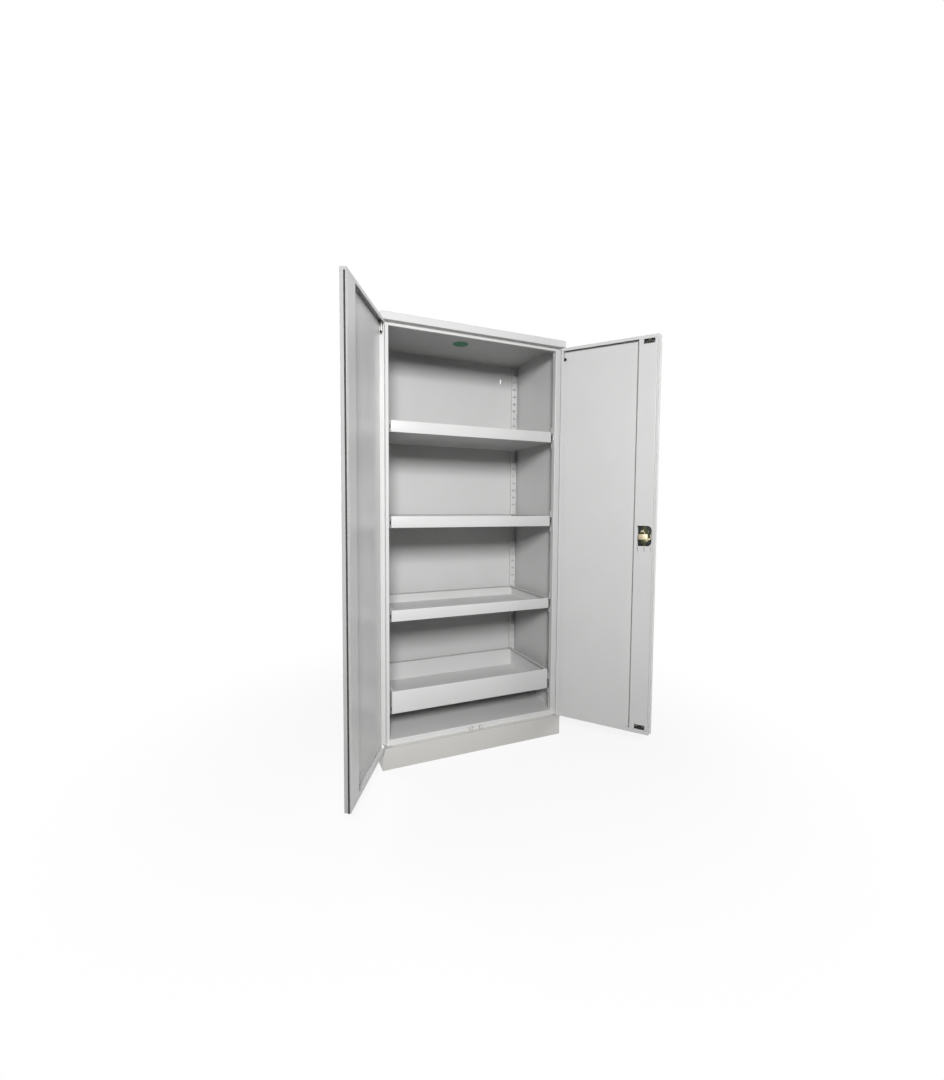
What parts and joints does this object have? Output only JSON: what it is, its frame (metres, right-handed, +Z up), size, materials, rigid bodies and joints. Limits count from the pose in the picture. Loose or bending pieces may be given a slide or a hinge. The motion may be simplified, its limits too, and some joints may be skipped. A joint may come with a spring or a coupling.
{
  "type": "safety cabinet",
  "caption": "Tall folded-steel safety cabinet with two hinged doors, pull-out spill trays on telescopic slides, slotted uprights, a rod lock and a roof outlet.",
  "frame": {"origin": "floor, at the centre of the plinth's foot flange", "axes": "+X to the viewer's right, +Y from the front to the back, +Z up"},
  "size_m": [1.3935, 0.8841, 1.98],
  "materials": {
    "body_paint": "light grey powder coat, fine texture, satin",
    "tray_paint": "light grey powder coat, smooth, satin",
    "zinc_plate": "bright zinc plate",
    "cast_zinc": "yellow passivated zinc casting",
    "brass": "turned",
    "black_plastic": "fine matt",
    "guide_plastic": "matt light grey",
    "cage_plastic": "natural white",
    "seal_rubber": "matt black",
    "plug_plastic": "matt green",
    "buffer_rubber": "matt white"
  },
  "bodies": {
    "carcass": {"side_panel_right": "body_paint", "side_panel_left": "body_paint", "roof_panel": "body_paint", "floor_panel": "body_paint", "plinth": "body_paint", "back_panel": "body_paint", "front_uprights": "body_paint", "rear_uprights": "body_paint", "vent_collar": "body_paint", "outlet_plug": "plug_plastic", "lower_pivots": "zinc_plate", "upper_pivots": "body_paint", "door_buffers": "buffer_rubber", "tray_rails": "body_paint", "slide_outer_1": "zinc_plate", "slide_outer_2": "zinc_plate", "slide_outer_3": "zinc_plate", "slide_outer_4": "zinc_plate"},
    "left_door": {"left_door_pan": "body_paint", "left_door_stile": "body_paint", "left_door_seal": "seal_rubber", "left_hinge_pin": "zinc_plate", "left_hinge_bracket": "zinc_plate", "left_hinge_bush": "cage_plastic"},
    "right_door": {"right_door_pan": "body_paint", "right_door_stile": "body_paint", "right_cover_strip": "body_paint", "right_hinge_pin": "zinc_plate", "right_hinge_bracket": "zinc_plate", "right_hinge_bush": "cage_plastic", "handle_cup": "black_plastic", "lock_case": "cast_zinc", "lock_screws": "zinc_plate", "rod_guides": "guide_plastic"},
    "lock_handle": {"turn_handle": "black_plastic", "lock_cam": "cast_zinc", "cam_screw": "zinc_plate"},
    "key_core": {"key_plug": "brass"},
    "upper_rod": {"upper_lock_rod": "zinc_plate"},
    "lower_rod": {"lower_lock_rod": "zinc_plate"},
    "tray_body_1": {"tray_1": "tray_paint", "slide_inner_1": "zinc_plate", "slide_catches_1": "black_plastic"},
    "slide_body_1": {"slide_middle_1": "zinc_plate", "slide_cages_1": "cage_plastic"},
    "tray_body_2": {"tray_2": "tray_paint", "slide_inner_2": "zinc_plate", "slide_catches_2": "black_plastic"},
    "slide_body_2": {"slide_middle_2": "zinc_plate", "slide_cages_2": "cage_plastic"},
    "tray_body_3": {"tray_3": "tray_paint", "slide_inner_3": "zinc_plate", "slide_catches_3": "black_plastic"},
    "slide_body_3": {"slide_middle_3": "zinc_plate", "slide_cages_3": "cage_plastic"},
    "tray_body_4": {"tray_4": "tray_paint", "slide_inner_4": "zinc_plate", "slide_catches_4": "black_plastic"},
    "slide_body_4": {"slide_middle_4": "zinc_plate", "slide_cages_4": "cage_plastic"}
  },
  "joints": [
    {"name": "left_door_hinge", "type": "hinge", "parent": "carcass", "child": "left_door", "pos_m": [-0.444, -0.238, 1], "axis": [0, 0, -1], "range_deg": [-118.1, 11.9]},
    {"name": "right_door_hinge", "type": "hinge", "parent": "carcass", "child": "right_door", "pos_m": [0.444, -0.238, 1], "axis": [0, 0, 1], "range_deg": [-128, 2]},
    {"name": "handle_turn", "type": "hinge", "parent": "right_door", "child": "lock_handle", "pos_m": [0.69499, -0.54951, 1.0185], "axis": [0.788, 0.6157, 0], "range_deg": [-90, 0]},
    {"name": "key_turn", "type": "hinge", "parent": "lock_handle", "child": "key_core", "pos_m": [0.69499, -0.54951, 1.0185], "axis": [0.788, 0.6157, 0], "range_deg": [0, 90]},
    {"name": "upper_rod_slide", "type": "slide", "parent": "right_door", "child": "upper_rod", "axis": [0, 0, -1], "range_m": [-0.0198, 0]},
    {"name": "lower_rod_slide", "type": "slide", "parent": "right_door", "child": "lower_rod", "axis": [0, 0, 1], "range_m": [-0.0198, 0]},
    {"name": "tray_slide_1", "type": "slide", "parent": "carcass", "child": "tray_body_1", "axis": [0, -1, 0], "range_m": [0, 0.38]},
    {"name": "middle_slide_1", "type": "slide", "parent": "carcass", "child": "slide_body_1", "axis": [0, -1, 0], "range_m": [0, 0.19]},
    {"name": "tray_slide_2", "type": "slide", "parent": "carcass", "child": "tray_body_2", "axis": [0, -1, 0], "range_m": [0, 0.38]},
    {"name": "middle_slide_2", "type": "slide", "parent": "carcass", "child": "slide_body_2", "axis": [0, -1, 0], "range_m": [0, 0.19]},
    {"name": "tray_slide_3", "type": "slide", "parent": "carcass", "child": "tray_body_3", "axis": [0, -1, 0], "range_m": [0, 0.38]},
    {"name": "middle_slide_3", "type": "slide", "parent": "carcass", "child": "slide_body_3", "axis": [0, -1, 0], "range_m": [0, 0.19]},
    {"name": "tray_slide_4", "type": "slide", "parent": "carcass", "child": "tray_body_4", "axis": [0, -1, 0], "range_m": [0, 0.38]},
    {"name": "middle_slide_4", "type": "slide", "parent": "carcass", "child": "slide_body_4", "axis": [0, -1, 0], "range_m": [0, 0.19]}
  ],
  "couplings": [
    {"joint": "handle_turn", "follows": "upper_rod_slide", "rad_per_m": 79.333},
    {"joint": "lower_rod_slide", "follows": "upper_rod_slide", "ratio": 1},
    {"joint": "middle_slide_1", "follows": "tray_slide_1", "ratio": 0.5},
    {"joint": "middle_slide_2", "follows": "tray_slide_2", "ratio": 0.5},
    {"joint": "middle_slide_3", "follows": "tray_slide_3", "ratio": 0.5},
    {"joint": "middle_slide_4", "follows": "tray_slide_4", "ratio": 0.5}
  ]
}
